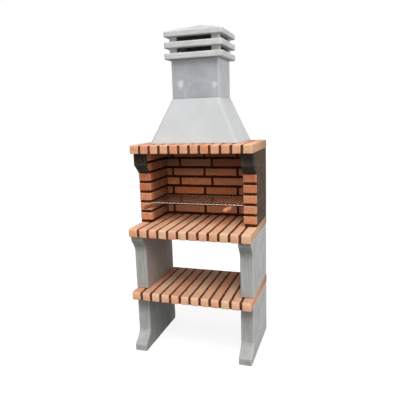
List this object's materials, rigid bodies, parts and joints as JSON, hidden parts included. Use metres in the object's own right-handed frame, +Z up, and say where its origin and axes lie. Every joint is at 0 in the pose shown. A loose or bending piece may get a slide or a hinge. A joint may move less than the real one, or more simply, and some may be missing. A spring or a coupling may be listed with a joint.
{
  "type": "outdoor masonry barbecue",
  "caption": "Free-standing masonry charcoal barbecue: precast legs, brick shelves, brick firebox with a sliding wire grill, and a smoke hood with flue and slotted cap.",
  "frame": {"origin": "on the ground, under the middle of the whole object's bounding box", "axes": "+Z up, +Y towards the rear, +X to the right of someone who stands in front of it and looks at it; the handles point to -Y"},
  "size_m": [0.742, 0.566, 1.9714],
  "materials": {
    "cast_concrete": "steel-mould cast concrete, faint upright streaks, matt",
    "pale_render": "fine cast cement, light grey, matt",
    "smooth_cement": "dense blue-grey cement from a smooth mould, slight sheen, mottled",
    "dark_cement": "charcoal cement, matt",
    "fired_brick": "fired clay facing brick, salmon to peach, matt",
    "wall_brick": "fired clay facing brick in the firebox, red brown, matt",
    "dark_mortar": "brown-black raked mortar, matt",
    "zinc_wire": "bright zinc-plated steel wire",
    "turned_wood": "turned beech, bare"
  },
  "bodies": {
    "masonry": {"lower_leg_left": "cast_concrete", "upper_leg_left": "cast_concrete", "firebox_side_left": "wall_brick", "bracket_left": "dark_cement", "lower_leg_right": "cast_concrete", "upper_leg_right": "cast_concrete", "firebox_side_right": "wall_brick", "bracket_right": "dark_cement", "shelf_mortar": "dark_mortar", "shelf_brick_01": "fired_brick", "shelf_brick_02": "fired_brick", "shelf_brick_03": "fired_brick", "shelf_brick_04": "fired_brick", "shelf_brick_05": "fired_brick", "shelf_brick_06": "fired_brick", "shelf_brick_07": "fired_brick", "shelf_brick_08": "fired_brick", "shelf_brick_09": "fired_brick", "shelf_brick_10": "fired_brick", "shelf_brick_11": "fired_brick", "shelf_brick_12": "fired_brick", "hearth_mortar": "dark_mortar", "hearth_brick_01": "fired_brick", "hearth_brick_02": "fired_brick", "hearth_brick_03": "fired_brick", "hearth_brick_04": "fired_brick", "hearth_brick_05": "fired_brick", "hearth_brick_06": "fired_brick", "hearth_brick_07": "fired_brick", "hearth_brick_08": "fired_brick", "hearth_brick_09": "fired_brick", "hearth_brick_10": "fired_brick", "hearth_brick_11": "fired_brick", "hearth_brick_12": "fired_brick", "mantel_mortar": "dark_mortar", "mantel_brick_01": "fired_brick", "mantel_brick_02": "fired_brick", "mantel_brick_03": "fired_brick", "mantel_brick_04": "fired_brick", "mantel_brick_05": "fired_brick", "mantel_brick_06": "fired_brick", "mantel_brick_07": "fired_brick", "mantel_brick_08": "fired_brick", "mantel_brick_09": "fired_brick", "mantel_brick_10": "fired_brick", "mantel_brick_11": "fired_brick", "mantel_brick_12": "fired_brick", "firebox_back": "wall_brick", "hood": "pale_render", "flue": "smooth_cement", "cap_ring_lower": "pale_render", "cap_ring_middle": "pale_render", "cap_top": "pale_render"},
    "grill": {"grill_frame": "zinc_wire", "grill_rods": "zinc_wire", "handle_tang_left": "zinc_wire", "handle_tang_right": "zinc_wire", "handle_grip_left": "turned_wood", "handle_grip_right": "turned_wood"}
  },
  "joints": [
    {"name": "grill_slide", "type": "slide", "parent": "masonry", "child": "grill", "axis": [0, -1, 0], "range_m": [0, 0.24]}
  ]
}
